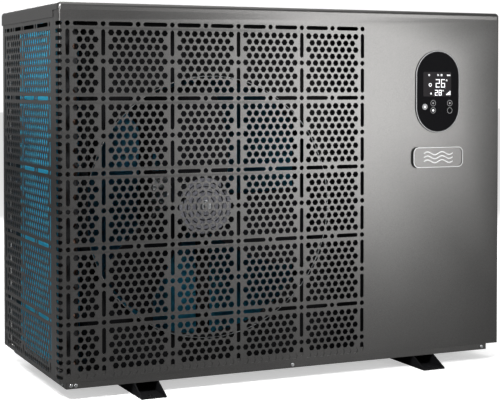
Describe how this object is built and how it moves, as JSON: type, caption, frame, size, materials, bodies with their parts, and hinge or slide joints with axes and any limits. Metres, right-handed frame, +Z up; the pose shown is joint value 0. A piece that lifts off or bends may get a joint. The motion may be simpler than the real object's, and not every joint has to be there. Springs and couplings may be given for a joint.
{
  "type": "pool heat pump unit",
  "caption": "Side-discharge pool heat pump: perforated sheet casing on two feet, axial fan, finned coil, compressor, titanium water exchanger, touch display.",
  "frame": {"origin": "on the ground, centre of the four anchor holes in the feet", "axes": "+X to the right seen from the front, the front face looks along -Y, +Z up"},
  "size_m": [1.1256, 0.544, 0.795],
  "materials": {
    "casing_paint": "fine metallic",
    "galvanised": "satin",
    "black_steel": "satin",
    "black_plastic": "fine texture",
    "grey_plastic": "fine texture",
    "white_plastic": "gloss",
    "fan_plastic": "satin",
    "blue_fin": "coated",
    "copper": "bare copper",
    "titanium": "satin",
    "steel": "satin",
    "compressor_paint": "semi-gloss",
    "rubber": "matt",
    "aluminium": "extruded",
    "circuit_board": "solder mask",
    "display_glass": "black glass",
    "bezel_plastic": "dark silver satin",
    "capacitor_sleeve": "shrink sleeve"
  },
  "bodies": {
    "casing": {"base_pan": "casing_paint", "foot_rail_left": "black_steel", "foot_rail_right": "black_steel", "foot_bolts": "steel", "condensate_drain": "black_plastic", "front_panel": "casing_paint", "front_corners": "casing_paint", "left_side_panel": "casing_paint", "right_side_panel": "casing_paint", "rear_panel": "casing_paint", "coil_guard": "black_plastic", "top_cover": "casing_paint", "partition_plate": "black_steel", "case_screws": "steel", "evaporator_coil": "blue_fin", "coil_end_plates": "galvanised", "return_bends": "copper", "coil_header": "copper", "fan_shroud": "black_steel", "fan_motor": "aluminium", "motor_bracket": "black_steel", "motor_bolts": "steel", "compressor": "compressor_paint", "compressor_grommets": "rubber", "compressor_bolts": "steel", "suction_accumulator": "compressor_paint", "four_way_valve": "copper", "expansion_valve": "copper", "discharge_pipe": "copper", "suction_pipes": "copper", "exchanger_gas_pipe": "copper", "coil_gas_pipe": "copper", "exchanger_liquid_pipe": "copper", "coil_liquid_pipe": "copper", "exchanger_shell": "grey_plastic", "titanium_coil": "titanium", "exchanger_stand": "galvanised", "inlet_port": "black_plastic", "outlet_port": "black_plastic", "union_tailpieces": "grey_plastic", "flow_switch": "black_plastic", "control_box": "galvanised", "control_box_cover": "galvanised", "inverter_board": "circuit_board", "capacitors": "capacitor_sleeve", "heat_sink": "aluminium", "terminal_bracket": "galvanised", "terminal_block": "white_plastic", "terminal_cover": "black_plastic", "cable_glands": "black_plastic", "display_housing": "bezel_plastic", "display_glass": "display_glass", "display_board": "circuit_board", "badge_plate": "white_plastic"},
    "fan": {"fan_rotor": "fan_plastic", "motor_shaft": "steel", "fan_nut": "steel"},
    "paddle": {"flow_paddle": "steel"},
    "inlet_nut": {"inlet_union_nut": "black_plastic"},
    "outlet_nut": {"outlet_union_nut": "black_plastic"}
  },
  "joints": [
    {"name": "fan_spin", "type": "hinge", "parent": "casing", "child": "fan", "pos_m": [-0.161, -0.098, 0.371], "axis": [0, 1, 0], "continuous": true},
    {"name": "paddle_swing", "type": "hinge", "parent": "casing", "child": "paddle", "pos_m": [0.494, -0.05, 0.455], "axis": [0, 1, 0], "range_deg": [-20, 0], "stiffness_Nm_per_rad": 0.002},
    {"name": "inlet_nut_turn", "type": "hinge", "parent": "casing", "child": "inlet_nut", "pos_m": [0.556, -0.05, 0.13], "axis": [1, 0, 0], "continuous": true},
    {"name": "outlet_nut_turn", "type": "hinge", "parent": "casing", "child": "outlet_nut", "pos_m": [0.556, -0.05, 0.43], "axis": [1, 0, 0], "continuous": true}
  ]
}
